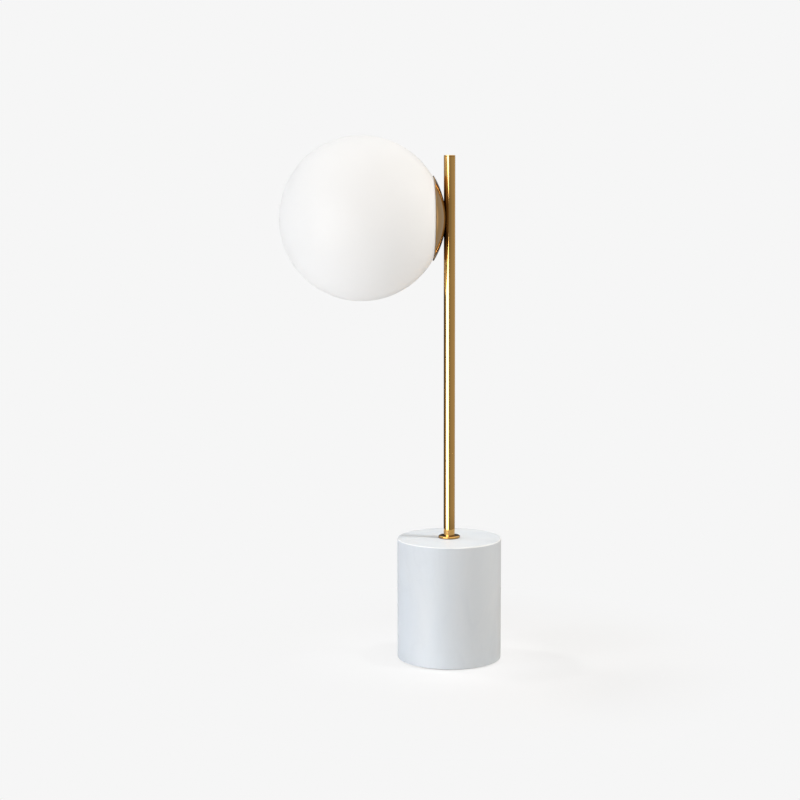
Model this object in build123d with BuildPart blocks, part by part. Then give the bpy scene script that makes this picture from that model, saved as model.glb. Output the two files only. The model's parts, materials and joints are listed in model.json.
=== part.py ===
from build123d import *
import os
from math import asin, cos, radians, sin, sqrt

# Glass globe table lamp. Millimetres, +Z up.
# The origin is the centre of the pad's underside, where the lamp stands.
# The arm points along -X: a distance along the arm is measured from the
# stem's centre line, and +Y is the back, where the cord outlet is.

# ---------------------------------------------------------------- fits
seat_gap = 0.1  # between curved faces of one body that bear on each other
fit_gap = 0.05  # radial, where a rod, tube or plug goes into its hole
turn_gap = 0.3  # between pieces that turn past each other
hole_gap = 0.5  # radial, round a rod or sleeve in a drilled hole

# ---------------------------------------------------------------- base
base_radius = 58.0
base_top = 136.5
base_reveal = 1.0  # height of the stone's lower edge above the table
base_top_round = 1.4
base_bottom_round = 0.8
pad_radius = 54.5
pad_thickness = 2.0
pad_edge_gap = 0.5
cavity_radius = 38.0
cavity_depth = 28.0

cord_height = 16.0
cord_bore_radius = 3.4
bush_radius = 5.2
bush_reach = 0.2  # its inner end stands into the cavity by this
bush_flange_radius = 7.5
bush_flange_thickness = 2.0
bush_recess = 1.2
bush_lip_round = 0.6

# ---------------------------------------------------------------- rod and its fasteners
rod_radius = 4.0
rod_bore_radius = 2.9
rod_below_ceiling = 11.0
rod_in_stem = 18.0
rubber_washer_radius = 16.0
rubber_washer_thickness = 1.5
steel_washer_radius = 15.0
steel_washer_thickness = 1.5
lock_washer_radius = 7.2
lock_washer_thickness = 1.0
lock_washer_split = 1.0
rod_nut_width = 13.0
rod_nut_height = 5.0

# ---------------------------------------------------------------- mains terminal block
block_width = 20.0
block_length = 16.0
block_height = 13.0
block_centre_y = 25.5
block_edge_round = 1.0
block_entry_drop = 9.0  # wire holes below the cavity's ceiling
pole_spacing = 9.0
wire_hole_radius = 1.6
clamp_screw_radius = 1.9
clamp_screw_hole_radius = 2.1

# ---------------------------------------------------------------- stem
stem_radius = 6.25
stem_wall = 1.0
arm_height = 491.5
stem_above_arm = 68.5
stem_cap_thickness = 1.2
stem_cap_round = 0.45
stem_cap_spigot = 8.0
collar_radius = 12.2
collar_height = 2.7
collar_top_round = 1.3
collar_foot_round = 0.8
foot_insert_length = 20.0
arm_insert_length = 26.0
arm_insert_bore_radius = 3.0

# ---------------------------------------------------------------- dome, spun sheet
dome_ball_radius = 88.0
dome_rim_radius = 46.4
dome_rim_distance = 17.7
dome_wall = 0.8

# ---------------------------------------------------------------- globe
globe_radius = 90.0
globe_wall = 3.0
globe_cut_radius = 41.4  # outer edge of the glass where it is cut flat
ring_bore_radius = 31.7
ring_sleeve_wall = 1.5
ring_flange_radius = 38.5
ring_flange_thickness = 1.2
ring_back_distance = 15.2
ring_length = 11.8
gasket_width = 5.8

# ---------------------------------------------------------------- holder drum
drum_wall = 1.5
drum_rim_distance = 26.0
nipple_radius = rod_radius
nipple_bore_radius = rod_bore_radius
nipple_inner_distance = 3.4
nipple_in_cap = 4.2
spacer_radius = 8.0

# ---------------------------------------------------------------- lampholder
holder_radius = 20.0
cap_depth = 20.0
cap_wall = 2.0
cap_back_wall = 4.0
cap_back_round = 2.5
core_thickness = 8.0
core_edge_gap = 0.2
skirt_length = 24.0
skirt_mouth_radius = 18.2
skirt_wall = 2.2
skirt_grip_count = 24
skirt_grip_depth = 0.6
skirt_grip_radius = 0.9
socket_radius = 13.4
socket_wall = 0.4
socket_length = 22.0
socket_floor_hole = 7.0
contact_width = 5.0
contact_sheet = 0.5
contact_rise = 2.4
contact_foot = 3.2
terminal_side = 6.0
terminal_depth = 4.0
terminal_spacing = 18.0
terminal_wire_depth = 2.5
terminal_screw_head_radius = 1.9
terminal_screw_head = 1.6

# ---------------------------------------------------------------- bulb
contact_gap = 0.2
eyelet_radius = 4.8
eyelet_thickness = 1.4
eyelet_round = 0.6
insulator_length = 3.0
insulator_radius = 11.0
bulb_cap_radius = 12.95
bulb_cap_wall = 0.4
bulb_cap_length = 22.0
bulb_length = 108.0
bulb_radius = 30.0
bulb_wall = 1.2
bulb_neck_overlap = 4.0
bulb_board_thickness = 1.6
led_count = 10
led_circle_radius = 16.0
led_side = 3.0
led_height = 0.8

# ---------------------------------------------------------------- leads
lead_radius = 0.95
lead_half_spacing = 1.5
lead_bend = 2.4
slug_bend = 3.0
cross_bend = 1.6
lead_drop = 5.5
lead_block_run = 4.5
lead_in_block = 4.0

# ================================================================ worked out
stem_top = arm_height + stem_above_arm
stone_height = base_top - base_reveal
cavity_ceiling = pad_thickness + cavity_depth
stem_bore_radius = stem_radius - stem_wall
plug_radius = stem_bore_radius - fit_gap
bore_radius = rod_radius + fit_gap
rod_bottom = cavity_ceiling - rod_below_ceiling
rod_length = base_top + rod_in_stem - rod_bottom
arm_insert_bottom = arm_height - arm_insert_length / 2

arm_plane = Plane(origin=(0, 0, arm_height), x_dir=(-1, 0, 0), z_dir=(0, 1, 0))
arm_axis = Axis((0, 0, arm_height), (-1, 0, 0))


def across_arm(distance):
    """The plane square to the arm, at a distance from the stem's centre line."""
    return Plane(origin=(-distance, 0, arm_height), x_dir=(0, 1, 0), z_dir=(-1, 0, 0))


def ball_near(ball_radius, ball_centre, radius):
    """Distance at which a ball's near side has the given radius."""
    return ball_centre - sqrt(ball_radius**2 - radius**2)


def ball_width(ball_radius, ball_centre, distance):
    """Radius of a ball at the given distance."""
    return sqrt(ball_radius**2 - (distance - ball_centre) ** 2)


# The dome is part of a ball that opens away from the stem. Its rim is cut
# square to the sheet.
dome_centre = dome_rim_distance + sqrt(dome_ball_radius**2 - dome_rim_radius**2)
dome_inner_radius = dome_ball_radius - dome_wall
rim_angle = asin(dome_rim_radius / dome_ball_radius)
rim_inner_distance = dome_centre - dome_inner_radius * cos(rim_angle)
rim_inner_radius = dome_inner_radius * sin(rim_angle)
saddle_radius = stem_radius + fit_gap

# The drum's back edge bears on the inside of the dome.
drum_radius = ring_bore_radius - turn_gap
drum_back = ball_near(dome_inner_radius, dome_centre, drum_radius) + seat_gap
drum_front = drum_back + drum_wall
spacer_back = saddle_radius + dome_wall + seat_gap

glass_edge = ring_back_distance + ring_flange_thickness
globe_distance = glass_edge + sqrt(globe_radius**2 - globe_cut_radius**2)

cap_back = drum_front
cap_front = cap_back + cap_depth
core_front = cap_front
core_back = core_front - core_thickness
terminal_back = core_back - terminal_depth
skirt_front = cap_front + skirt_length

contact_top = core_front + socket_wall + contact_rise
eyelet_back = contact_top + contact_gap
eyelet_front = eyelet_back + eyelet_thickness
bulb_cap_back = eyelet_front + insulator_length
bulb_cap_front = bulb_cap_back + bulb_cap_length
bulb_tip = eyelet_back + bulb_length
bulb_ball_centre = bulb_tip - bulb_radius

# ================================================================ base
os.makedirs("parts", exist_ok=True)

with BuildPart() as marble_base:
    with BuildSketch(Plane.XY.offset(base_reveal)):
        Circle(base_radius)
    extrude(amount=stone_height)
    fillet(marble_base.edges().group_by(Axis.Z)[-1], base_top_round)
    fillet(marble_base.edges().group_by(Axis.Z)[0], base_bottom_round)
    with BuildSketch(Plane.XY.offset(base_reveal)):
        Circle(pad_radius + pad_edge_gap)
    extrude(amount=pad_thickness - base_reveal, mode=Mode.SUBTRACT)
    with BuildSketch(Plane.XY.offset(pad_thickness)):
        Circle(cavity_radius)
    extrude(amount=cavity_depth, mode=Mode.SUBTRACT)
    with BuildSketch(Plane.XY.offset(cavity_ceiling)):
        Circle(rod_radius + hole_gap)
    extrude(amount=base_top - cavity_ceiling, mode=Mode.SUBTRACT)
    with BuildSketch(Plane(origin=(0, 0, cord_height), z_dir=(0, 1, 0))):
        Circle(bush_radius + fit_gap)
    extrude(amount=base_radius, mode=Mode.SUBTRACT)
    with BuildSketch(Plane(origin=(0, base_radius - bush_recess, cord_height), z_dir=(0, 1, 0))):
        Circle(bush_flange_radius + fit_gap)
    extrude(amount=bush_recess, mode=Mode.SUBTRACT)
marble_base.part.label = "marble_base"
export_step(marble_base.part, "parts/marble_base.step")

with BuildPart() as base_pad:
    with BuildSketch():
        Circle(pad_radius)
    extrude(amount=pad_thickness)
base_pad.part.label = "base_pad"
export_step(base_pad.part, "parts/base_pad.step")

# The bush lines the cord's hole. Its lip stands in a shallow spot face.
bush_seat = base_radius - bush_recess
bush_length = bush_seat - (cavity_radius - bush_reach)
with BuildPart() as cord_bush:
    with BuildSketch(Plane(origin=(0, bush_seat, cord_height), z_dir=(0, 1, 0))):
        Circle(bush_flange_radius)
    extrude(amount=bush_flange_thickness)
    fillet(cord_bush.edges().group_by(Axis.Y)[-1], bush_lip_round)
    with BuildSketch(Plane(origin=(0, bush_seat - bush_length, cord_height), z_dir=(0, 1, 0))):
        Circle(bush_radius)
    extrude(amount=bush_length)
    with BuildSketch(Plane(origin=(0, bush_seat - bush_length, cord_height), z_dir=(0, 1, 0))):
        Circle(cord_bore_radius)
    extrude(amount=bush_length + bush_flange_thickness, mode=Mode.SUBTRACT)
cord_bush.part.label = "cord_bush"
export_step(cord_bush.part, "parts/cord_bush.step")

# ================================================================ rod and its fasteners
with BuildPart() as threaded_rod:
    with BuildSketch(Plane.XY.offset(rod_bottom)):
        Circle(rod_radius)
        Circle(rod_bore_radius, mode=Mode.SUBTRACT)
    extrude(amount=rod_length)
threaded_rod.part.label = "threaded_rod"
export_step(threaded_rod.part, "parts/threaded_rod.step")

rubber_washer_bottom = cavity_ceiling - rubber_washer_thickness
with BuildPart() as rubber_washer:
    with BuildSketch(Plane.XY.offset(rubber_washer_bottom)):
        Circle(rubber_washer_radius)
        Circle(bore_radius, mode=Mode.SUBTRACT)
    extrude(amount=rubber_washer_thickness)
rubber_washer.part.label = "rubber_washer"
export_step(rubber_washer.part, "parts/rubber_washer.step")

steel_washer_bottom = rubber_washer_bottom - steel_washer_thickness
with BuildPart() as steel_washer:
    with BuildSketch(Plane.XY.offset(steel_washer_bottom)):
        Circle(steel_washer_radius)
        Circle(bore_radius, mode=Mode.SUBTRACT)
    extrude(amount=steel_washer_thickness)
steel_washer.part.label = "steel_washer"
export_step(steel_washer.part, "parts/steel_washer.step")

# Split ring, flattened by the nut.
lock_washer_bottom = steel_washer_bottom - lock_washer_thickness
with BuildPart() as lock_washer:
    with BuildSketch(Plane.XY.offset(lock_washer_bottom)):
        Circle(lock_washer_radius)
        Circle(bore_radius, mode=Mode.SUBTRACT)
        with Locations(((bore_radius + lock_washer_radius) / 2, 0)):
            Rectangle(lock_washer_radius, lock_washer_split, mode=Mode.SUBTRACT)
    extrude(amount=lock_washer_thickness)
lock_washer.part.label = "lock_washer"
export_step(lock_washer.part, "parts/lock_washer.step")

with BuildPart() as rod_nut:
    with BuildSketch(Plane.XY.offset(lock_washer_bottom - rod_nut_height)):
        RegularPolygon(rod_nut_width / 2, 6, major_radius=False)
        Circle(bore_radius, mode=Mode.SUBTRACT)
    extrude(amount=rod_nut_height)
rod_nut.part.label = "rod_nut"
export_step(rod_nut.part, "parts/rod_nut.step")

# ================================================================ mains terminal block
# It hangs under the cavity's ceiling, between the rod and the cord's hole.
block_top = cavity_ceiling
block_bottom = block_top - block_height
block_front = block_centre_y - block_length / 2
wire_height = block_top - block_entry_drop
pole_places = [(-pole_spacing / 2, wire_height), (pole_spacing / 2, wire_height)]
screw_places = [
    (side * pole_spacing / 2, block_centre_y + end * block_length / 4)
    for side in (-1, 1)
    for end in (-1, 1)
]
with BuildPart() as terminal_block:
    with BuildSketch(Plane.XY.offset(block_bottom)):
        with Locations((0, block_centre_y)):
            RectangleRounded(block_width, block_length, block_edge_round)
    extrude(amount=block_height)
    with BuildSketch(Plane(origin=(0, block_front, 0), x_dir=(1, 0, 0), z_dir=(0, -1, 0))):
        with Locations(*pole_places):
            Circle(wire_hole_radius)
    extrude(amount=-block_length, mode=Mode.SUBTRACT)
    with BuildSketch(Plane.XY.offset(block_bottom)):
        with Locations(*screw_places):
            Circle(clamp_screw_hole_radius)
    extrude(amount=wire_height - block_bottom, mode=Mode.SUBTRACT)
terminal_block.part.label = "terminal_block"
export_step(terminal_block.part, "parts/terminal_block.step")

# Four clamp screws, driven from below: their tips stop short of the leads.
clamp_tip = wire_height - lead_radius - seat_gap
with BuildPart() as block_screws:
    with BuildSketch(Plane.XY.offset(block_bottom)):
        with Locations(*screw_places):
            Circle(clamp_screw_radius)
    extrude(amount=clamp_tip - block_bottom)
block_screws.part.label = "block_screws"
export_step(block_screws.part, "parts/block_screws.step")

# ================================================================ stem
with BuildPart() as stem_foot_insert:
    with BuildSketch(Plane.XY.offset(base_top)):
        Circle(plug_radius)
        Circle(bore_radius, mode=Mode.SUBTRACT)
    extrude(amount=foot_insert_length)
stem_foot_insert.part.label = "stem_foot_insert"
export_step(stem_foot_insert.part, "parts/stem_foot_insert.step")

# A low turned ring with a rounded rim covers the joint of stem and stone.
with BuildPart() as stem_collar:
    with BuildSketch(Plane.XY.offset(base_top)):
        Circle(collar_radius)
        Circle(stem_radius + fit_gap, mode=Mode.SUBTRACT)
    extrude(amount=collar_height)
    rim_edges = stem_collar.edges().filter_by(GeomType.CIRCLE).filter_by(
        lambda edge: edge.radius > (collar_radius + stem_radius) / 2
    )
    fillet(rim_edges.group_by(Axis.Z)[-1], collar_top_round)
    fillet(rim_edges.group_by(Axis.Z)[0], collar_foot_round)
stem_collar.part.label = "stem_collar"
export_step(stem_collar.part, "parts/stem_collar.step")

stem_tube_top = stem_top - stem_cap_thickness
with BuildPart() as stem_tube:
    with BuildSketch(Plane.XY.offset(base_top)):
        Circle(stem_radius)
        Circle(stem_bore_radius, mode=Mode.SUBTRACT)
    extrude(amount=stem_tube_top - base_top)
    with BuildSketch(across_arm(0)):
        Circle(nipple_radius + fit_gap)
    extrude(amount=2 * stem_radius, mode=Mode.SUBTRACT)
stem_tube.part.label = "stem_tube"
export_step(stem_tube.part, "parts/stem_tube.step")

with BuildPart() as stem_cap:
    with BuildSketch(Plane.XY.offset(stem_tube_top)):
        Circle(stem_radius)
    extrude(amount=stem_cap_thickness)
    fillet(stem_cap.edges().group_by(Axis.Z)[-1], stem_cap_round)
    with BuildSketch(Plane.XY.offset(stem_tube_top - stem_cap_spigot)):
        Circle(plug_radius)
    extrude(amount=stem_cap_spigot)
stem_cap.part.label = "stem_cap"
export_step(stem_cap.part, "parts/stem_cap.step")

# A slug inside the tube: the arm's nipple screws into its side, and the
# leads turn from its lower bore into the nipple.
with BuildPart() as arm_insert:
    with BuildSketch(Plane.XY.offset(arm_insert_bottom)):
        Circle(plug_radius)
    extrude(amount=arm_insert_length)
    with BuildSketch(Plane.XY.offset(arm_insert_bottom)):
        Circle(arm_insert_bore_radius)
    extrude(amount=arm_insert_length / 2, mode=Mode.SUBTRACT)
    with BuildSketch(across_arm(0)):
        Circle(nipple_radius + fit_gap)
    extrude(amount=2 * stem_radius, mode=Mode.SUBTRACT)
arm_insert.part.label = "arm_insert"
export_step(arm_insert.part, "parts/arm_insert.step")

# ================================================================ arm
nipple_end = cap_back + nipple_in_cap
with BuildPart() as arm_nipple:
    with BuildSketch(across_arm(nipple_inner_distance)):
        Circle(nipple_radius)
        Circle(nipple_bore_radius, mode=Mode.SUBTRACT)
    extrude(amount=nipple_end - nipple_inner_distance)
arm_nipple.part.label = "arm_nipple"
export_step(arm_nipple.part, "parts/arm_nipple.step")

# The saddle: where the dome meets the tube, its sheet is pressed in to lie
# on the tube. The patch is a sleeve round the tube, kept inside the dome's
# outer ball.
with BuildPart() as saddle_patch:
    with BuildSketch(Plane.XY.offset(arm_height - dome_rim_radius)):
        Circle(saddle_radius + dome_wall)
    extrude(amount=2 * dome_rim_radius)
    with BuildSketch(arm_plane):
        with BuildLine():
            ball_front = dome_centre + dome_ball_radius
            ball_back = dome_centre - dome_ball_radius
            Line((ball_back, 0), (ball_front, 0))
            ThreePointArc((ball_back, 0), (dome_centre, dome_ball_radius), (ball_front, 0))
        make_face()
    revolve(axis=arm_axis, mode=Mode.INTERSECT)

with BuildPart() as dome_cup:
    with BuildSketch(arm_plane):
        with BuildLine():
            half_angle = rim_angle / 2
            outer_apex = (dome_centre - dome_ball_radius, 0)
            outer_middle = (
                dome_centre - dome_ball_radius * cos(half_angle),
                dome_ball_radius * sin(half_angle),
            )
            outer_rim = (dome_rim_distance, dome_rim_radius)
            inner_rim = (rim_inner_distance, rim_inner_radius)
            inner_middle = (
                dome_centre - dome_inner_radius * cos(half_angle),
                dome_inner_radius * sin(half_angle),
            )
            inner_apex = (dome_centre - dome_inner_radius, 0)
            ThreePointArc(outer_apex, outer_middle, outer_rim)
            Line(outer_rim, inner_rim)
            ThreePointArc(inner_rim, inner_middle, inner_apex)
            Line(inner_apex, outer_apex)
        make_face()
    revolve(axis=arm_axis)
    add(saddle_patch.part)
    with BuildSketch(Plane.XY.offset(arm_height - dome_rim_radius)):
        Circle(saddle_radius)
    extrude(amount=2 * dome_rim_radius, mode=Mode.SUBTRACT)
    with BuildSketch(across_arm(0)):
        Circle(nipple_radius + fit_gap)
    extrude(amount=dome_rim_distance, mode=Mode.SUBTRACT)
dome_cup.part.label = "dome_cup"
export_step(dome_cup.part, "parts/dome_cup.step")

with BuildPart() as arm_spacer:
    with BuildSketch(across_arm(spacer_back)):
        Circle(spacer_radius)
        Circle(bore_radius, mode=Mode.SUBTRACT)
    extrude(amount=drum_back - spacer_back)
arm_spacer.part.label = "arm_spacer"
export_step(arm_spacer.part, "parts/arm_spacer.step")

# The drum carries the globe: its outside has the thread that the ring of
# the globe screws on to.
with BuildPart() as holder_drum:
    with BuildSketch(across_arm(drum_back)):
        Circle(drum_radius)
        Circle(bore_radius, mode=Mode.SUBTRACT)
    extrude(amount=drum_wall)
    with BuildSketch(across_arm(drum_back)):
        Circle(drum_radius)
        Circle(drum_radius - drum_wall, mode=Mode.SUBTRACT)
    extrude(amount=drum_rim_distance - drum_back)
holder_drum.part.label = "holder_drum"
export_step(holder_drum.part, "parts/holder_drum.step")

# ================================================================ lampholder
with BuildPart() as lampholder_cap:
    with BuildSketch(across_arm(cap_back)):
        Circle(holder_radius)
    extrude(amount=cap_depth)
    fillet(lampholder_cap.edges().group_by(Axis.X)[-1], cap_back_round)
    with BuildSketch(across_arm(cap_back + cap_back_wall)):
        Circle(holder_radius - cap_wall)
    extrude(amount=cap_depth - cap_back_wall, mode=Mode.SUBTRACT)
    with BuildSketch(across_arm(cap_back)):
        Circle(bore_radius)
    extrude(amount=cap_back_wall, mode=Mode.SUBTRACT)
lampholder_cap.part.label = "lampholder_cap"
export_step(lampholder_cap.part, "parts/lampholder_cap.step")

with BuildPart() as lampholder_core:
    with BuildSketch(across_arm(core_back)):
        Circle(holder_radius - cap_wall - core_edge_gap)
    extrude(amount=core_thickness)
lampholder_core.part.label = "lampholder_core"
export_step(lampholder_core.part, "parts/lampholder_core.step")

# Two terminals on the core's back, each with a hole for its lead.
terminal_places = [(-terminal_spacing / 2, 0), (terminal_spacing / 2, 0)]
with BuildPart() as lampholder_terminals:
    with BuildSketch(across_arm(terminal_back)):
        with Locations(*terminal_places):
            Rectangle(terminal_side, terminal_side)
    extrude(amount=terminal_depth)
    with BuildSketch(across_arm(terminal_back)):
        with Locations(*terminal_places):
            Circle(lead_radius + seat_gap)
    extrude(amount=terminal_wire_depth, mode=Mode.SUBTRACT)
lampholder_terminals.part.label = "lampholder_terminals"
export_step(lampholder_terminals.part, "parts/lampholder_terminals.step")

# Their screws lie on top, with the heads outwards.
terminal_middle = terminal_back + terminal_depth / 2
terminal_top = arm_height + terminal_side / 2
with BuildPart() as terminal_screws:
    with BuildSketch(Plane.XY.offset(terminal_top)):
        with Locations(
            (-terminal_middle, -terminal_spacing / 2),
            (-terminal_middle, terminal_spacing / 2),
        ):
            Circle(terminal_screw_head_radius)
    extrude(amount=terminal_screw_head)
terminal_screws.part.label = "terminal_screws"
export_step(terminal_screws.part, "parts/terminal_screws.step")

# Screw shell with a floor, holed for the centre contact.
with BuildPart() as lampholder_shell:
    with BuildSketch(across_arm(core_front)):
        Circle(socket_radius + socket_wall)
    extrude(amount=socket_length)
    with BuildSketch(across_arm(core_front + socket_wall)):
        Circle(socket_radius)
    extrude(amount=socket_length - socket_wall, mode=Mode.SUBTRACT)
    with BuildSketch(across_arm(core_front)):
        Circle(socket_floor_hole)
    extrude(amount=socket_wall, mode=Mode.SUBTRACT)
lampholder_shell.part.label = "lampholder_shell"
export_step(lampholder_shell.part, "parts/lampholder_shell.step")

# Bent spring strip: a foot on the core and a tongue that the bulb presses.
foot_middle = core_front + contact_sheet / 2
tongue_middle = contact_top - contact_sheet / 2
with BuildPart() as lampholder_contact:
    with BuildSketch(arm_plane):
        with BuildLine():
            Polyline(
                (foot_middle, -contact_foot),
                (foot_middle, contact_foot),
                (tongue_middle, contact_foot / 4),
                (tongue_middle, -contact_foot),
            )
        trace(line_width=contact_sheet)
    extrude(amount=contact_width / 2, both=True)
lampholder_contact.part.label = "lampholder_contact"
export_step(lampholder_contact.part, "parts/lampholder_contact.step")

# The skirt screws on to the cap and hides the shell. Its outside is fluted
# for the fingers.
with BuildPart() as lampholder_skirt:
    with BuildSketch(arm_plane):
        with BuildLine():
            Polyline(
                (cap_front, socket_radius + socket_wall + turn_gap),
                (cap_front, holder_radius),
                (skirt_front, skirt_mouth_radius),
                (skirt_front, skirt_mouth_radius - skirt_wall),
                (cap_front, socket_radius + socket_wall + turn_gap),
            )
        make_face()
    revolve(axis=arm_axis)
    with BuildSketch(across_arm(cap_front)):
        with PolarLocations(holder_radius + skirt_grip_radius - skirt_grip_depth, skirt_grip_count):
            Circle(skirt_grip_radius)
    extrude(amount=skirt_length, mode=Mode.SUBTRACT)
lampholder_skirt.part.label = "lampholder_skirt"
export_step(lampholder_skirt.part, "parts/lampholder_skirt.step")

# ================================================================ leads
# Each lead runs from the terminal block to the rod, up the rod and the stem
# with a quarter twist, and through the slug and the nipple to its terminal.
lead_low = rod_bottom - lead_drop
lead_block_turn = block_front - lead_block_run
lead_cross = (nipple_end + terminal_back) / 2


def lead_route(side):
    """Corner points of one lead, from the terminal block to the lampholder."""
    beside = side * lead_half_spacing
    pole = side * pole_spacing / 2
    terminal = side * terminal_spacing / 2
    return [
        (pole, block_front + lead_in_block, wire_height),
        (pole, lead_block_turn, wire_height),
        (beside, 0, lead_low),
        (0, beside, arm_height),
        (-lead_cross, beside, arm_height),
        (-lead_cross, terminal, arm_height),
        (-terminal_back - terminal_wire_depth + seat_gap, terminal, arm_height),
    ]


lead_bends = [lead_bend, lead_bend, slug_bend, cross_bend, cross_bend]

with BuildPart() as lead_live:
    with BuildLine() as live_path:
        FilletPolyline(*lead_route(1), radius=lead_bends)
    with BuildSketch(Plane(origin=live_path.line @ 0, z_dir=live_path.line % 0)):
        Circle(lead_radius)
    sweep()
lead_live.part.label = "lead_live"
export_step(lead_live.part, "parts/lead_live.step")

with BuildPart() as lead_neutral:
    with BuildLine() as neutral_path:
        FilletPolyline(*lead_route(-1), radius=lead_bends)
    with BuildSketch(Plane(origin=neutral_path.line @ 0, z_dir=neutral_path.line % 0)):
        Circle(lead_radius)
    sweep()
lead_neutral.part.label = "lead_neutral"
export_step(lead_neutral.part, "parts/lead_neutral.step")

# ================================================================ globe
# A blown globe, cut off flat inside the dome. The cut edge is bonded to the
# flange of the ring, and the ring screws on to the drum.
globe_bore_radius = globe_radius - globe_wall
glass_inner_edge = ball_width(globe_bore_radius, globe_distance, glass_edge)
with BuildPart() as globe_shade:
    with BuildSketch(arm_plane):
        with BuildLine():
            ThreePointArc(
                (glass_edge, globe_cut_radius),
                (globe_distance, globe_radius),
                (globe_distance + globe_radius, 0),
            )
            Line((globe_distance + globe_radius, 0), (globe_distance + globe_bore_radius, 0))
            ThreePointArc(
                (globe_distance + globe_bore_radius, 0),
                (globe_distance, globe_bore_radius),
                (glass_edge, glass_inner_edge),
            )
            Line((glass_edge, glass_inner_edge), (glass_edge, globe_cut_radius))
        make_face()
    revolve(axis=arm_axis)
globe_shade.part.label = "globe_shade"
export_step(globe_shade.part, "parts/globe_shade.step")

with BuildPart() as globe_ring:
    with BuildSketch(across_arm(ring_back_distance)):
        Circle(ring_flange_radius)
        Circle(ring_bore_radius, mode=Mode.SUBTRACT)
    extrude(amount=ring_flange_thickness)
    with BuildSketch(across_arm(ring_back_distance)):
        Circle(ring_bore_radius + ring_sleeve_wall)
        Circle(ring_bore_radius, mode=Mode.SUBTRACT)
    extrude(amount=ring_length)
globe_ring.part.label = "globe_ring"
export_step(globe_ring.part, "parts/globe_ring.step")

# Soft ring between the flange and the dome. Its back follows the dome.
gasket_ball_radius = dome_inner_radius - turn_gap
gasket_front = ring_back_distance - turn_gap
gasket_outer_radius = ring_bore_radius + gasket_width
gasket_middle_radius = ring_bore_radius + gasket_width / 2
with BuildPart() as globe_gasket:
    with BuildSketch(arm_plane):
        with BuildLine():
            gasket_inner = (
                ball_near(gasket_ball_radius, dome_centre, ring_bore_radius),
                ring_bore_radius,
            )
            gasket_middle = (
                ball_near(gasket_ball_radius, dome_centre, gasket_middle_radius),
                gasket_middle_radius,
            )
            gasket_outer = (
                ball_near(gasket_ball_radius, dome_centre, gasket_outer_radius),
                gasket_outer_radius,
            )
            ThreePointArc(gasket_inner, gasket_middle, gasket_outer)
            Line(gasket_outer, (gasket_front, gasket_outer_radius))
            Line((gasket_front, gasket_outer_radius), (gasket_front, ring_bore_radius))
            Line((gasket_front, ring_bore_radius), gasket_inner)
        make_face()
    revolve(axis=arm_axis)
globe_gasket.part.label = "globe_gasket"
export_step(globe_gasket.part, "parts/globe_gasket.step")

# ================================================================ bulb
with BuildPart() as bulb_eyelet:
    with BuildSketch(across_arm(eyelet_back)):
        Circle(eyelet_radius)
    extrude(amount=eyelet_thickness)
    fillet(bulb_eyelet.edges().group_by(Axis.X)[-1], eyelet_round)
bulb_eyelet.part.label = "bulb_eyelet"
export_step(bulb_eyelet.part, "parts/bulb_eyelet.step")

with BuildPart() as bulb_insulator:
    with BuildSketch(arm_plane):
        with BuildLine():
            Polyline(
                (eyelet_front + turn_gap, 0),
                (eyelet_front + turn_gap, eyelet_radius + eyelet_round),
                (bulb_cap_back, insulator_radius),
                (bulb_cap_back, 0),
                (eyelet_front + turn_gap, 0),
            )
        make_face()
    revolve(axis=arm_axis)
bulb_insulator.part.label = "bulb_insulator"
export_step(bulb_insulator.part, "parts/bulb_insulator.step")

bulb_cap_shoulder = bulb_cap_radius - insulator_radius
with BuildPart() as bulb_cap:
    with BuildSketch(arm_plane):
        with BuildLine():
            Polyline(
                (bulb_cap_back, 0),
                (bulb_cap_back, insulator_radius),
                (bulb_cap_back + bulb_cap_shoulder, bulb_cap_radius),
                (bulb_cap_front, bulb_cap_radius),
                (bulb_cap_front, bulb_cap_radius - bulb_cap_wall),
                (bulb_cap_back + bulb_cap_shoulder, bulb_cap_radius - bulb_cap_wall),
                (bulb_cap_back + bulb_cap_wall, insulator_radius - bulb_cap_wall),
                (bulb_cap_back + bulb_cap_wall, 0),
                (bulb_cap_back, 0),
            )
        make_face()
    revolve(axis=arm_axis)
bulb_cap.part.label = "bulb_cap"
export_step(bulb_cap.part, "parts/bulb_cap.step")

# Tapered housing: its neck stands in the cap and it widens to the bulb's
# full width, where the board and the diffuser sit.
neck_radius = bulb_cap_radius - bulb_cap_wall - fit_gap
neck_back = bulb_cap_front - bulb_neck_overlap
with BuildPart() as bulb_housing:
    with BuildSketch(arm_plane):
        with BuildLine():
            Line((neck_back, neck_radius - bulb_wall), (neck_back, neck_radius))
            Line((neck_back, neck_radius), (bulb_cap_front, neck_radius))
            Line((bulb_cap_front, neck_radius), (bulb_cap_front, bulb_cap_radius))
            TangentArc(
                (bulb_ball_centre, bulb_radius),
                (bulb_cap_front, bulb_cap_radius),
                tangent=(-1, 0),
            )
            Line((bulb_ball_centre, bulb_radius), (bulb_ball_centre, bulb_radius - bulb_wall))
            TangentArc(
                (bulb_ball_centre, bulb_radius - bulb_wall),
                (bulb_cap_front, neck_radius - bulb_wall),
                tangent=(-1, 0),
            )
            Line((bulb_cap_front, neck_radius - bulb_wall), (neck_back, neck_radius - bulb_wall))
        make_face()
    revolve(axis=arm_axis)
bulb_housing.part.label = "bulb_housing"
export_step(bulb_housing.part, "parts/bulb_housing.step")

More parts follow.
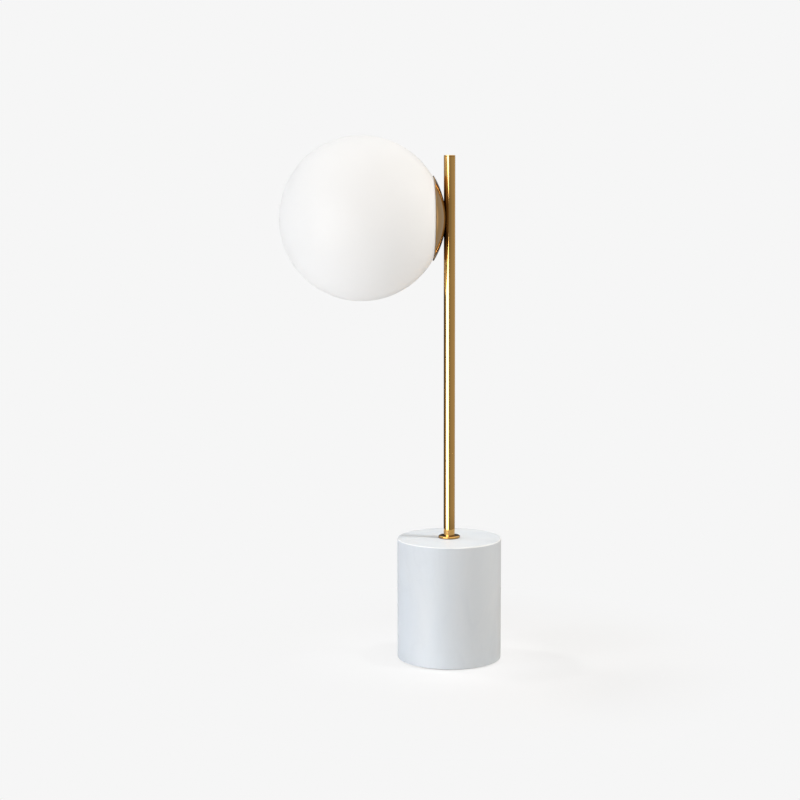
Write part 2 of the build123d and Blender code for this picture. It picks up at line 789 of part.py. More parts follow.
with BuildPart() as bulb_diffuser:
    with BuildSketch(arm_plane):
        with BuildLine():
            bulb_bore_radius = bulb_radius - bulb_wall
            slant = cos(radians(45))
            ThreePointArc(
                (bulb_ball_centre, bulb_radius),
                (bulb_ball_centre + bulb_radius * slant, bulb_radius * slant),
                (bulb_tip, 0),
            )
            Line((bulb_tip, 0), (bulb_tip - bulb_wall, 0))
            ThreePointArc(
                (bulb_tip - bulb_wall, 0),
                (bulb_ball_centre + bulb_bore_radius * slant, bulb_bore_radius * slant),
                (bulb_ball_centre, bulb_bore_radius),
            )
            Line((bulb_ball_centre, bulb_bore_radius), (bulb_ball_centre, bulb_radius))
        make_face()
    revolve(axis=arm_axis)
bulb_diffuser.part.label = "bulb_diffuser"
export_step(bulb_diffuser.part, "parts/bulb_diffuser.step")

with BuildPart() as bulb_led_board:
    with BuildSketch(across_arm(bulb_ball_centre)):
        Circle(bulb_bore_radius - fit_gap)
    extrude(amount=bulb_board_thickness)
bulb_led_board.part.label = "bulb_led_board"
export_step(bulb_led_board.part, "parts/bulb_led_board.step")

with BuildPart() as bulb_leds:
    with BuildSketch(across_arm(bulb_ball_centre + bulb_board_thickness)):
        with PolarLocations(led_circle_radius, led_count):
            Rectangle(led_side, led_side)
    extrude(amount=led_height)
bulb_leds.part.label = "bulb_leds"
export_step(bulb_leds.part, "parts/bulb_leds.step")
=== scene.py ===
import json
from math import asin, atan2, cos, degrees, pi, radians, sin, sqrt

import bmesh
import bpy
from mathutils import Matrix, Vector


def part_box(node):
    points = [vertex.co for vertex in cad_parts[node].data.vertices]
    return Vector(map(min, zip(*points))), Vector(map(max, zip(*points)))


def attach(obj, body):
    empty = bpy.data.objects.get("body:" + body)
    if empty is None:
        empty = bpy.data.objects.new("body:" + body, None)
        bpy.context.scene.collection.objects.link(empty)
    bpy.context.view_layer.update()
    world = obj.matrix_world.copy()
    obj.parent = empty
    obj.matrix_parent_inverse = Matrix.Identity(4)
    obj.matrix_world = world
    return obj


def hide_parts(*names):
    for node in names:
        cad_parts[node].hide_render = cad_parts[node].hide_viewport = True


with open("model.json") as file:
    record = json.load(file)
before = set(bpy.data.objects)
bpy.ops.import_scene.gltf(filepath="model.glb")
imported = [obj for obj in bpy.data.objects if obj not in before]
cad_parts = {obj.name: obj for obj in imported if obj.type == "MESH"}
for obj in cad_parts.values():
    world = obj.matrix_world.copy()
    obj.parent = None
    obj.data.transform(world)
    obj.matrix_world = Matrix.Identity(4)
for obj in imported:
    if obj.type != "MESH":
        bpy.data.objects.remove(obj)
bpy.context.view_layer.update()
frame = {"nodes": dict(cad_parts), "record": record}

# Glass globe table lamp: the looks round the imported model. Metres, +Z up,
# the globe's arm along -X, the back at +Y.

nodes = frame["nodes"]

# ---------------------------------------------------------------- sizes from the frame
stem_low, stem_high = [Vector(corner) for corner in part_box("stem_tube")]
cap_low, cap_high = [Vector(corner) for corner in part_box("stem_cap")]
dome_low, dome_high = [Vector(corner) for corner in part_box("dome_cup")]
globe_low, globe_high = [Vector(corner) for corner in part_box("globe_shade")]
base_high = Vector(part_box("marble_base")[1])
collar_low, collar_high = [Vector(corner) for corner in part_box("stem_collar")]

MM = 0.001
ROUND_STEPS = 256  # facets round a turned piece
ON_AXIS = 1e-9  # a radius under this is a point on the axis

stem_radius = (stem_high.x - stem_low.x) / 2
base_top = base_high.z
globe_radius = (globe_high.z - globe_low.z) / 2
globe_centre = Vector((globe_low.x + globe_radius, 0.0, (globe_low.z + globe_high.z) / 2))
arm_height = globe_centre.z


# ---------------------------------------------------------------- mesh helpers
def arc(centre, radius, start, end, steps):
    """Points of an arc in a profile, angles in degrees."""
    points = []
    for i in range(steps + 1):
        angle = radians(start + (end - start) * i / steps)
        points.append((centre[0] + radius * cos(angle), centre[1] + radius * sin(angle)))
    return points


def new_object(name, mesh, body):
    """Links a mesh as a piece that moves with a body."""
    piece = bpy.data.objects.new(name, mesh)
    bpy.context.scene.collection.objects.link(piece)
    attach(piece, body)
    return piece


def smooth(mesh, angle=30):
    """Smooth shading, with a crease wherever faces meet at more than the angle."""
    mesh.polygons.foreach_set("use_smooth", [True] * len(mesh.polygons))
    mesh.set_sharp_from_angle(angle=radians(angle))
    mesh.update()


def mesh_data(name, mesh):
    """Turns a built mesh's faces outwards and makes it Blender's mesh data."""
    bmesh.ops.recalc_face_normals(mesh, faces=mesh.faces)
    data = bpy.data.meshes.new(name)
    mesh.to_mesh(data)
    mesh.free()
    return data


def turned(name, profile, body, origin=(0, 0, 0), along="Z"):
    """A turned piece. The profile's points are (distance along the axis, radius).
    A point of zero radius lies on the axis and closes the surface there, and
    a profile that starts and ends off the axis is closed in a loop."""
    mesh = bmesh.new()
    origin = Vector(origin)
    rings = []
    for distance, radius in profile:
        if radius < ON_AXIS:
            rings.append([mesh.verts.new(origin + axis_point(along, distance, 0, 0))])
            continue
        ring = []
        for i in range(ROUND_STEPS):
            angle = 2 * pi * i / ROUND_STEPS
            ring.append(mesh.verts.new(origin + axis_point(along, distance, radius, angle)))
        rings.append(ring)
    pairs = list(zip(rings, rings[1:]))
    if len(rings[0]) > 1 and len(rings[-1]) > 1:
        pairs.append((rings[-1], rings[0]))
    for first, second in pairs:
        if len(first) == 1 and len(second) == 1:
            continue  # the globe's outside and inside both end on the axis
        for i in range(ROUND_STEPS):
            j = (i + 1) % ROUND_STEPS
            if len(first) == 1:
                mesh.faces.new((first[0], second[j], second[i]))
            elif len(second) == 1:
                mesh.faces.new((first[i], first[j], second[0]))
            else:
                mesh.faces.new((first[i], first[j], second[j], second[i]))
    data = mesh_data(name, mesh)
    smooth(data)
    return new_object(name, data, body)


def axis_point(along, distance, radius, angle):
    """A point at a distance along +Z or along the arm (-X), and round it."""
    if along == "Z":
        return Vector((radius * cos(angle), radius * sin(angle), distance))
    return Vector((-distance, radius * sin(angle), radius * cos(angle)))


# ---------------------------------------------------------------- material helpers
NOISE_LOW, NOISE_HIGH = 0.3, 0.7  # most of a noise lies between these
BLACK, WHITE = (0.0, 0.0, 0.0), (1.0, 1.0, 1.0)


def new_material(name):
    """A material with only an output and a Principled shader."""
    material = bpy.data.materials.new(name)
    material.use_nodes = True
    tree = material.node_tree
    tree.nodes.clear()
    output = tree.nodes.new("ShaderNodeOutputMaterial")
    shader = tree.nodes.new("ShaderNodeBsdfPrincipled")
    tree.links.new(shader.outputs["BSDF"], output.inputs["Surface"])
    return material, tree, shader


def place(tree, stretch=(1, 1, 1)):
    """Object coordinates, stretched."""
    coordinates = tree.nodes.new("ShaderNodeTexCoord")
    mapping = tree.nodes.new("ShaderNodeMapping")
    mapping.inputs["Scale"].default_value = stretch
    tree.links.new(coordinates.outputs["Object"], mapping.inputs["Vector"])
    return mapping.outputs["Vector"]


def noise(tree, vector, scale, detail=4.0, roughness=0.5, distortion=0.0):
    """Noise from 0 to 1."""
    node = tree.nodes.new("ShaderNodeTexNoise")
    node.inputs["Scale"].default_value = scale
    node.inputs["Detail"].default_value = detail
    node.inputs["Roughness"].default_value = roughness
    node.inputs["Distortion"].default_value = distortion
    tree.links.new(vector, node.inputs["Vector"])
    return node.outputs["Fac"]


def ramp(tree, factor, stops):
    """Colour ramp; each stop is (position, colour)."""
    node = tree.nodes.new("ShaderNodeValToRGB")
    elements = node.color_ramp.elements
    elements[0].position, elements[-1].position = stops[0][0], stops[-1][0]
    elements[0].color, elements[-1].color = (*stops[0][1], 1.0), (*stops[-1][1], 1.0)
    for position, colour in stops[1:-1]:
        elements.new(position).color = (*colour, 1.0)
    tree.links.new(factor, node.inputs["Fac"])
    return node.outputs["Color"]


def spread(tree, factor, low, high):
    """Maps noise's middle range to low..high."""
    node = tree.nodes.new("ShaderNodeMapRange")
    node.inputs["From Min"].default_value = NOISE_LOW
    node.inputs["From Max"].default_value = NOISE_HIGH
    node.inputs["To Min"].default_value = low
    node.inputs["To Max"].default_value = high
    tree.links.new(factor, node.inputs["Value"])
    return node.outputs["Result"]


def smoothstep(tree, value, start, end, low, high):
    """Goes softly from low to high while a value goes from start to end."""
    node = tree.nodes.new("ShaderNodeMapRange")
    node.interpolation_type = "SMOOTHSTEP"
    node.inputs["From Min"].default_value = start
    node.inputs["From Max"].default_value = end
    node.inputs["To Min"].default_value = low
    node.inputs["To Max"].default_value = high
    tree.links.new(value, node.inputs["Value"])
    return node.outputs["Result"]


def mix_colour(tree, factor, first, second):
    """Mix of two colours by a socket; each colour is a socket or a tuple."""
    node = tree.nodes.new("ShaderNodeMix")
    node.data_type = "RGBA"
    tree.links.new(factor, node.inputs[0])
    for socket, value in ((node.inputs[6], first), (node.inputs[7], second)):
        if isinstance(value, bpy.types.NodeSocket):
            tree.links.new(value, socket)
        else:
            socket.default_value = (*value, 1.0)
    return node.outputs[2]


def math_node(tree, operation, first, second=None):
    """A maths node; each side is a socket or a number."""
    node = tree.nodes.new("ShaderNodeMath")
    node.operation = operation
    for socket, value in zip(node.inputs, (first, second)):
        if isinstance(value, bpy.types.NodeSocket):
            tree.links.new(value, socket)
        elif value is not None:
            socket.default_value = value
    return node.outputs[0]


def bump(tree, shader, height, distance):
    """Bump from a height socket, its distance in metres."""
    node = tree.nodes.new("ShaderNodeBump")
    node.inputs["Strength"].default_value = 1.0
    node.inputs["Distance"].default_value = distance
    tree.links.new(height, node.inputs["Height"])
    tree.links.new(node.outputs["Normal"], shader.inputs["Normal"])


# ---------------------------------------------------------------- materials
BRASS_LOW, BRASS_HIGH = (0.76, 0.435, 0.13), (0.80, 0.46, 0.142)
# painted shade: the dome's spun brass is the same brass made darker
SPUN_BRASS_SHADED_LOW, SPUN_BRASS_SHADED_HIGH = (0.62, 0.365, 0.13), (0.68, 0.40, 0.145)
# painted shade: the brass colour in creases and where other parts lie close
BRASS_PAINTED_SHADE = (0.10, 0.06, 0.03)
PAINTED_SHADE_REACH = 30 * MM
PAINTED_SHADE_SAMPLES = 16
BRASS_GRAIN = 0.0000004  # heights of the bumps, in metres
STONE_GRAIN = 0.0000005
GLASS_GRAIN = 0.000012
STONE_LOW, STONE_HIGH = (0.575, 0.61, 0.64), (0.615, 0.635, 0.65)
STONE_VEIN = (0.45, 0.47, 0.50)
# painted highlight: the lighter colour of the stone's rounded edges
STONE_PAINTED_HIGHLIGHT = (0.735, 0.74, 0.735)
VEIN_STRENGTH = 0.12
OPAL_LOW, OPAL_HIGH = (0.895, 0.895, 0.89), (0.91, 0.91, 0.905)
ZINC = (0.56, 0.56, 0.55)
ALUMINIUM = (0.72, 0.72, 0.73)
CONTACT_BRASS = (0.72, 0.50, 0.22)
NICKEL = (0.62, 0.60, 0.57)
FINER = 18  # a plain surface's grain is this much finer than its cloud
POLISH_SPREAD = 0.15  # and its roughness varies by this share


def brass_material(name, stretch, low, high):
    """Polished brass with the faint cloud and grain of its last polishing. Its colour
    is painted dark brown where other surfaces lie close, as painted shade in creases."""
    material, tree, shader = new_material(name)
    cloud = noise(tree, place(tree), 28.0, 3.0)
    clean = ramp(tree, cloud, [(NOISE_LOW, low), (NOISE_HIGH, high)])
    # painted shade: ambient occlusion darkens the colour in creases and between parts
    crease = tree.nodes.new("ShaderNodeAmbientOcclusion")
    crease.samples = PAINTED_SHADE_SAMPLES
    crease.inputs["Distance"].default_value = PAINTED_SHADE_REACH
    colour = mix_colour(tree, crease.outputs["AO"], BRASS_PAINTED_SHADE, clean)
    tree.links.new(colour, shader.inputs["Base Color"])
    grain = noise(tree, place(tree, stretch), 600.0, 3.0)
    tree.links.new(spread(tree, grain, 0.05, 0.09), shader.inputs["Roughness"])
    shader.inputs["Metallic"].default_value = 1.0
    bump(tree, shader, grain, BRASS_GRAIN)
    return material


def painted_highlight_edge(tree):
    """Mask of the painted highlight: 1 where a surface leans between upright and level, and 0
    elsewhere.
    """
    coordinates = tree.nodes.new("ShaderNodeTexCoord")
    split = tree.nodes.new("ShaderNodeSeparateXYZ")
    tree.links.new(coordinates.outputs["Normal"], split.inputs[0])
    return ramp(
        tree, split.outputs["Z"],
        [(0.1, BLACK), (0.45, WHITE), (0.8, WHITE), (0.97, BLACK)],
    )


def marble_material():
    """Pale polished marble with a cool cloud, very faint veins and a painted highlight along its
    rounded edges.
    """
    material, tree, shader = new_material("marble_pale")
    vector = place(tree)
    cloud = noise(tree, place(tree, (1.0, 1.0, 0.35)), 22.0, 5.0, 0.55, 0.4)
    ground = ramp(tree, cloud, [(0.32, STONE_LOW), (0.68, STONE_HIGH)])
    wander = noise(tree, place(tree, (9.0, 9.0, 3.2)), 2.2, 6.0, 0.6, 1.6)
    vein = ramp(
        tree, wander,
        [(0.455, BLACK), (0.497, WHITE), (0.503, WHITE), (0.55, BLACK)],
    )
    patches = noise(tree, vector, 16.0, 2.0)
    strength = math_node(tree, "MULTIPLY", vein, spread(tree, patches, 0.0, VEIN_STRENGTH))
    stone = mix_colour(tree, strength, ground, STONE_VEIN)
    # painted highlight: the rounded edges are made lighter than the stone
    colour = mix_colour(tree, painted_highlight_edge(tree), stone, STONE_PAINTED_HIGHLIGHT)
    tree.links.new(colour, shader.inputs["Base Color"])
    polish = noise(tree, vector, 160.0, 4.0)
    tree.links.new(spread(tree, polish, 0.46, 0.50), shader.inputs["Roughness"])
    shader.inputs["Specular IOR Level"].default_value = 0.3
    shader.inputs["Subsurface Weight"].default_value = 0.12
    shader.inputs["Subsurface Radius"].default_value = (1.0, 0.9, 0.8)
    shader.inputs["Subsurface Scale"].default_value = 0.004
    bump(tree, shader, noise(tree, vector, 420.0, 5.0), STONE_GRAIN)
    return material


def opal_material():
    """Satin opal glass: light spreads inside it, and its surface is etched."""
    material, tree, shader = new_material("opal_satin")
    vector = place(tree)
    cloud = noise(tree, vector, 9.0, 3.0)
    colour = ramp(tree, cloud, [(NOISE_LOW, OPAL_LOW), (NOISE_HIGH, OPAL_HIGH)])
    tree.links.new(colour, shader.inputs["Base Color"])
    frost = noise(tree, vector, 2400.0, 3.0)
    tree.links.new(spread(tree, frost, 0.42, 0.52), shader.inputs["Roughness"])
    shader.inputs["Specular IOR Level"].default_value = 0.2
    shader.inputs["Subsurface Weight"].default_value = 0.3
    shader.inputs["Subsurface Radius"].default_value = (1.0, 0.97, 0.94)
    shader.inputs["Subsurface Scale"].default_value = 0.008
    bump(tree, shader, frost, GLASS_GRAIN)
    return material


def plain_material(name, colour, variation, roughness, metallic=0.0, scale=60.0, grain=0.00001):
    """A moulded, cast or drawn surface with slight cloud and grain."""
    material, tree, shader = new_material(name)
    vector = place(tree)
    cloud = noise(tree, vector, scale, 4.0)
    low = tuple(channel * (1 - variation) for channel in colour)
    high = tuple(min(1.0, channel * (1 + variation)) for channel in colour)
    clouded = ramp(tree, cloud, [(NOISE_LOW, low), (NOISE_HIGH, high)])
    tree.links.new(clouded, shader.inputs["Base Color"])
    fine = noise(tree, vector, scale * FINER, 4.0)
    polish = spread(
        tree, fine, roughness * (1 - POLISH_SPREAD), roughness * (1 + POLISH_SPREAD)
    )
    tree.links.new(polish, shader.inputs["Roughness"])
    shader.inputs["Metallic"].default_value = metallic
    bump(tree, shader, fine, grain)
    return material


def add_thread(tree, shader, pitch, depth, along, height=0.0):
    """Gives a turned piece the ridges of a thread round +Z or round the arm."""
    coordinates = tree.nodes.new("ShaderNodeTexCoord")
    split = tree.nodes.new("ShaderNodeSeparateXYZ")
    tree.links.new(coordinates.outputs["Object"], split.inputs[0])
    if along == "Z":
        run, first, second = split.outputs["Z"], split.outputs["Y"], split.outputs["X"]
    else:
        run, first = split.outputs["X"], split.outputs["Y"]
        second = math_node(tree, "SUBTRACT", split.outputs["Z"], height)
    turn = math_node(tree, "ARCTAN2", first, second)
    turns = math_node(tree, "MULTIPLY", run, 2 * pi / pitch)
    ridges = math_node(tree, "SINE", math_node(tree, "ADD", turns, turn))
    bump(tree, shader, ridges, depth / 2)


def threaded_material(name, colour, variation, roughness, pitch, depth, along, height=0.0):
    """Metal with a thread on it."""
    material = plain_material(name, colour, variation, roughness, metallic=1.0, scale=90.0)
    tree = material.node_tree
    shader = next(node for node in tree.nodes if node.type == "BSDF_PRINCIPLED")
    add_thread(tree, shader, pitch, depth, along, height)
    return material


brass_stem = brass_material("brass_stem", (1.0, 1.0, 0.02), BRASS_LOW, BRASS_HIGH)
brass_turned = brass_material("brass_turned", (1.0, 1.0, 1.0), BRASS_LOW, BRASS_HIGH)
# painted shade: the dome gets the darker copy of the brass
brass_spun_shaded = brass_material("brass_spun_shaded", (1.0, 1.0, 1.0), SPUN_BRASS_SHADED_LOW, SPUN_BRASS_SHADED_HIGH)
marble = marble_material()
opal = opal_material()
foam = plain_material("foam_black", (0.03, 0.03, 0.03), 0.2, 0.85, scale=300.0, grain=0.0001)
rubber = plain_material("rubber_black", (0.035, 0.035, 0.035), 0.15, 0.6)
silicone = plain_material("silicone_pale", (0.72, 0.72, 0.70), 0.04, 0.45)
plastic_black = plain_material("plastic_black", (0.03, 0.03, 0.032), 0.12, 0.42)
plastic_white = plain_material("plastic_white", (0.80, 0.80, 0.78), 0.03, 0.38)
porcelain = plain_material("porcelain", (0.82, 0.81, 0.78), 0.03, 0.12)
zinc = plain_material("zinc_steel", ZINC, 0.08, 0.34, metallic=1.0, scale=120.0)
aluminium = plain_material("aluminium_turned", ALUMINIUM, 0.05, 0.3, metallic=1.0, scale=90.0)
contact_brass = plain_material("contact_brass", CONTACT_BRASS, 0.06, 0.28, metallic=1.0)
nickel = plain_material("nickel_cap", NICKEL, 0.06, 0.25, metallic=1.0)
bulb_frost = plain_material("bulb_frost", (0.88, 0.88, 0.87), 0.02, 0.5)
led_yellow = plain_material("led_yellow", (0.85, 0.66, 0.12), 0.08, 0.5)
lead_brown = plain_material("lead_brown", (0.16, 0.07, 0.035), 0.08, 0.4)
lead_blue = plain_material("lead_blue", (0.035, 0.12, 0.38), 0.08, 0.4)

RING_PITCH = 4.0 * MM  # the globe comes 12 mm out along the arm in three turns
BULB_PITCH = 3.63 * MM
ROD_PITCH = 1.0 * MM
COARSE_DEPTH = 1.2 * MM
FINE_DEPTH = 0.6 * MM
ring_thread = threaded_material(
    "ring_thread", ALUMINIUM, 0.05, 0.3, RING_PITCH, COARSE_DEPTH, "ARM", arm_height
)
bulb_thread = threaded_material(
    "bulb_thread", NICKEL, 0.06, 0.25, BULB_PITCH, COARSE_DEPTH, "ARM", arm_height
)
shell_thread = threaded_material(
    "shell_thread", CONTACT_BRASS, 0.06, 0.28, BULB_PITCH, COARSE_DEPTH, "ARM", arm_height
)
rod_thread = threaded_material("rod_thread", ZINC, 0.08, 0.34, ROD_PITCH, FINE_DEPTH, "Z")
nipple_thread = threaded_material(
    "nipple_thread", ZINC, 0.08, 0.34, ROD_PITCH, FINE_DEPTH, "ARM", arm_height
)

SLOT_MATERIALS = {
    "marble": marble,
    "brass": brass_turned,
    "opal_glass": opal,
    "foam_black": foam,
    "rubber_black": rubber,
    "silicone_clear": silicone,
    "plastic_black": plastic_black,
    "plastic_white": plastic_white,
    "porcelain": porcelain,
    "zinc_steel": zinc,
    "aluminium": aluminium,
    "contact_brass": contact_brass,
    "nickel": nickel,
    "bulb_frost": bulb_frost,
    "led_yellow": led_yellow,
    "lead_brown": lead_brown,
    "lead_blue": lead_blue,
}
for subpart in frame["record"]["subparts"]:
    for object_slot in nodes[subpart["node"]].material_slots:
        object_slot.material = SLOT_MATERIALS[subpart["material_slot"]]
for node_name, threaded in (
    ("holder_drum", ring_thread),
    ("globe_ring", ring_thread),
    ("bulb_cap", bulb_thread),
    ("lampholder_shell", shell_thread),
    ("threaded_rod", rod_thread),
    ("arm_nipple", nipple_thread),
):
    for object_slot in nodes[node_name].material_slots:
        object_slot.material = threaded


def dress(piece, material, slot, *replaced):
    """Gives a piece its material and hides the nodes it stands for. The slot is not used."""
    piece.data.materials.append(material)
    if replaced:
        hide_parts(*replaced)
    return piece


# ---------------------------------------------------------------- stem
STEM_WALL = 1.0 * MM
CAP_ROUND = 0.45 * MM
CAP_SEAM = 0.25 * MM  # eased edges leave a fine groove under the cap
CAP_THICKNESS = 1.2 * MM
CAP_SPIGOT_GAP = 0.05 * MM
stem_tube_top = stem_high.z
stem_bore = stem_radius - STEM_WALL


def build_stem():
    """Drawn tube, and the turned plug with a rounded edge that closes it."""
    tube = turned("stem_tube_drawn", [
        (base_top, stem_radius),
        (stem_tube_top - CAP_SEAM, stem_radius),
        (stem_tube_top, stem_radius - CAP_SEAM),
        (stem_tube_top, stem_bore),
        (base_top, stem_bore),
    ], "lamp")
    dress(tube, brass_stem, "brass", "stem_tube")
    edge = arc((cap_high.z - CAP_ROUND, stem_radius - CAP_ROUND), CAP_ROUND, 90, 0, 10)
    spigot = stem_bore - CAP_SPIGOT_GAP
    cap = turned("stem_cap_turned", [
        (cap_low.z, 0),
        (cap_low.z, spigot),
        (stem_tube_top, spigot),
        (stem_tube_top, stem_radius - CAP_SEAM),
        (stem_tube_top + CAP_SEAM, stem_radius),
        *edge,
        (cap_high.z, 0),
    ], "lamp")
    dress(cap, brass_turned, "brass", "stem_cap")


# ---------------------------------------------------------------- collar
COLLAR_TOP_ROUND = 1.3 * MM
COLLAR_FOOT_ROUND = 0.8 * MM
COLLAR_BORE_GAP = 0.05 * MM


def build_collar():
    """Low turned ring with a rounded rim where the stem stands on the stone."""
    radius = (collar_high.x - collar_low.x) / 2
    bore = stem_radius + COLLAR_BORE_GAP
    foot_centre = (collar_low.z + COLLAR_FOOT_ROUND, radius - COLLAR_FOOT_ROUND)
    rim_centre = (collar_high.z - COLLAR_TOP_ROUND, radius - COLLAR_TOP_ROUND)
    collar = turned("stem_collar_turned", [
        (collar_low.z, bore),
        *arc(foot_centre, COLLAR_FOOT_ROUND, 180, 90, 8),
        *arc(rim_centre, COLLAR_TOP_ROUND, 90, 0, 14),
        (collar_high.z, bore),
    ], "lamp")
    dress(collar, brass_turned, "brass", "stem_collar")


# ---------------------------------------------------------------- dome
DOME_BALL = 88.0 * MM
DOME_WALL = 0.8 * MM
DOME_HOLE = 4.05 * MM
DOME_PRESS_SOFTNESS = 0.7 * MM
DOME_SEAT_GAP = 0.05 * MM
DOME_RIM_INSET = 0.12 * MM  # the spun edge is eased
DOME_NEAR_END = 20.0 * MM  # the press lies within this radius and has finer rings
DOME_NEAR_STEPS, DOME_FAR_STEPS = 44, 22
DOME_CREASE_ANGLE = 50
dome_rim_radius = (dome_high.z - dome_low.z) / 2
dome_rim_angle = asin(dome_rim_radius / DOME_BALL)
dome_centre = -dome_low.x + (DOME_BALL - DOME_WALL) * cos(dome_rim_angle)


def dome_distance(ball, saddle, across, radius):
    """How far the sheet lies from the stem's centre line: on its ball, or on
    the tube where it is pressed in, with a soft crease between them."""
    on_ball = dome_centre - sqrt(ball**2 - radius**2)
    on_tube = sqrt(max(saddle**2 - across**2, 0.0))
    return (on_ball + on_tube + sqrt((on_ball - on_tube) ** 2 + DOME_PRESS_SOFTNESS**2)) / 2


def build_dome():
    """Spun brass sheet, pressed in where it lies on the stem."""
    saddle = stem_radius + DOME_SEAT_GAP
    inner_rim = (DOME_BALL - DOME_WALL) * sin(dome_rim_angle)
    near_reach = DOME_NEAR_END - DOME_HOLE
    far_reach = dome_rim_radius - DOME_RIM_INSET - DOME_NEAR_END
    outer_radii = [
        DOME_HOLE + near_reach * i / DOME_NEAR_STEPS for i in range(DOME_NEAR_STEPS)
    ]
    outer_radii += [
        DOME_NEAR_END + far_reach * i / DOME_FAR_STEPS for i in range(DOME_FAR_STEPS + 1)
    ]
    share = (inner_rim - DOME_RIM_INSET) / (dome_rim_radius - DOME_RIM_INSET)
    rings = [(radius, DOME_BALL, saddle) for radius in outer_radii]
    rings += [
        (DOME_HOLE + (radius - DOME_HOLE) * share, DOME_BALL - DOME_WALL, saddle + DOME_WALL)
        for radius in reversed(outer_radii)
    ]
    mesh = bmesh.new()
    loops = []
    for radius, ball, saddle_here in rings:
        loop = []
        for i in range(ROUND_STEPS):
            angle = 2 * pi * i / ROUND_STEPS
            across = radius * sin(angle)
            distance = dome_distance(ball, saddle_here, across, radius)
            loop.append(mesh.verts.new((-distance, across, arm_height + radius * cos(angle))))
        loops.append(loop)
    loops.append(loops[0])
    for first, second in zip(loops, loops[1:]):
        for i in range(ROUND_STEPS):
            j = (i + 1) % ROUND_STEPS
            mesh.faces.new((first[i], first[j], second[j], second[i]))
    data = mesh_data("dome_spun", mesh)
    smooth(data, DOME_CREASE_ANGLE)
    dress(new_object("dome_spun", data, "lamp"), brass_spun_shaded, "brass", "dome_cup")


# ---------------------------------------------------------------- globe
GLASS_WALL = 3.0 * MM
GLASS_EDGE_EASE = 0.3 * MM
GLASS_OUTSIDE_STEPS, GLASS_INSIDE_STEPS = 120, 110


def build_globe():
    """Blown globe with a real wall, cut off flat and ground where its ring sits."""
    cut = globe_centre.x - globe_high.x  # negative: the cut lies towards the stem
    inner = globe_radius - GLASS_WALL
    outer_start = degrees(atan2(sqrt(globe_radius**2 - cut**2), cut))
    inner_start = degrees(atan2(sqrt(inner**2 - cut**2), cut))
    ease = degrees(GLASS_EDGE_EASE / globe_radius)
    outside = arc((0, 0), globe_radius, outer_start - ease, 0, GLASS_OUTSIDE_STEPS)
    inside = arc((0, 0), inner, 0, inner_start - ease, GLASS_INSIDE_STEPS)
    cut_ring = [
        (cut, inside[-1][1] + GLASS_EDGE_EASE),
        (cut, outside[0][1] - GLASS_EDGE_EASE),
    ]
    outside[-1] = (globe_radius, 0)
    inside[0] = (inner, 0)
    globe = turned("globe_blown", [*cut_ring, *outside, *inside], "globe", globe_centre, "ARM")
    dress(globe, opal, "opal_glass", "globe_shade")


# ---------------------------------------------------------------- screw heads
CLAMP_SCREW_RADIUS = 1.9 * MM
SLOT_WIDTH = 0.7 * MM
HEAD_RISE = 0.35 * MM
HEAD_EASE = 0.12 * MM
HEAD_INSET = 0.08 * MM
HEAD_STEPS = 16  # along the arc of each half


def slotted_head(name, centre, outward, radius, body):
    """Two raised halves on a screw's head, with the driver's slot between them."""
    mesh = bmesh.new()
    turn = Vector((0, 0, 1)).rotation_difference(Vector(outward))
    for side in (1, -1):
        rings = []
        for height, shrink in ((0.0, 0.0), (HEAD_RISE - HEAD_EASE, 0.0), (HEAD_RISE, HEAD_EASE)):
            reach = radius - HEAD_INSET - shrink
            start = asin((SLOT_WIDTH / 2 + shrink / 2) / reach)
            ring = []
            for i in range(HEAD_STEPS + 1):
                angle = start + (pi - 2 * start) * i / HEAD_STEPS
                point = Vector((reach * cos(angle), side * reach * sin(angle), height))
                ring.append(mesh.verts.new(Vector(centre) + turn @ point))
            rings.append(ring)
        for low, high in zip(rings, rings[1:]):
            for i in range(HEAD_STEPS + 1):
                j = (i + 1) % (HEAD_STEPS + 1)
                mesh.faces.new((low[i], low[j], high[j], high[i]))
        mesh.faces.new(rings[0])
        mesh.faces.new(rings[-1])
    dress(new_object(name, mesh_data(name, mesh), body), zinc, "zinc_steel")


def build_screw_heads():
    """Driver slots of the terminal block's screws and the lampholder's screws."""
    low, high = [Vector(corner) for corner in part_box("block_screws")]
    radius = CLAMP_SCREW_RADIUS
    for i, x in enumerate((low.x + radius, high.x - radius)):
        for j, y in enumerate((low.y + radius, high.y - radius)):
            name = "block_screw_head_%d" % (2 * i + j + 1)
            slotted_head(name, (x, y, low.z), (0, 0, -1), radius, "lamp")
    low, high = [Vector(corner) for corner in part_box("terminal_screws")]
    radius = (high.x - low.x) / 2
    x = (low.x + high.x) / 2
    for i, y in enumerate((low.y + radius, high.y - radius)):
        name = "terminal_screw_head_%d" % (i + 1)
        slotted_head(name, (x, y, high.z), (0, 0, 1), radius, "lamp")


build_screw_heads()
build_stem()
build_collar()
build_dome()
build_globe()


# ---------------------------------------------------------------- camera
CAMERA_DISTANCE = 1.9
CAMERA_HEIGHT = 0.5121
CAMERA_AZIMUTH = radians(5.2)  # towards the globe's side
CAMERA_HEADING = radians(3.551)
CAMERA_PITCH = radians(6.628)
CAMERA_ROLL = radians(0.13)  # keeps the stem upright in the picture
CAMERA_LENS = 77.64  # millimetres, as the sensor
CAMERA_SENSOR = 36.0

camera_data = bpy.data.cameras.new("camera")
camera_data.lens = CAMERA_LENS
camera_data.sensor_width = CAMERA_SENSOR
camera = bpy.data.objects.new("camera", camera_data)
camera.location = (
    -CAMERA_DISTANCE * sin(CAMERA_AZIMUTH),
    -CAMERA_DISTANCE * cos(CAMERA_AZIMUTH),
    CAMERA_HEIGHT,
)
camera.rotation_euler = (
    Matrix.Rotation(-CAMERA_HEADING, 3, "Z")
    @ Matrix.Rotation(pi / 2 - CAMERA_PITCH, 3, "X")
    @ Matrix.Rotation(-CAMERA_ROLL, 3, "Z")
).to_euler()
bpy.context.scene.collection.objects.link(camera)
bpy.context.scene.camera = camera

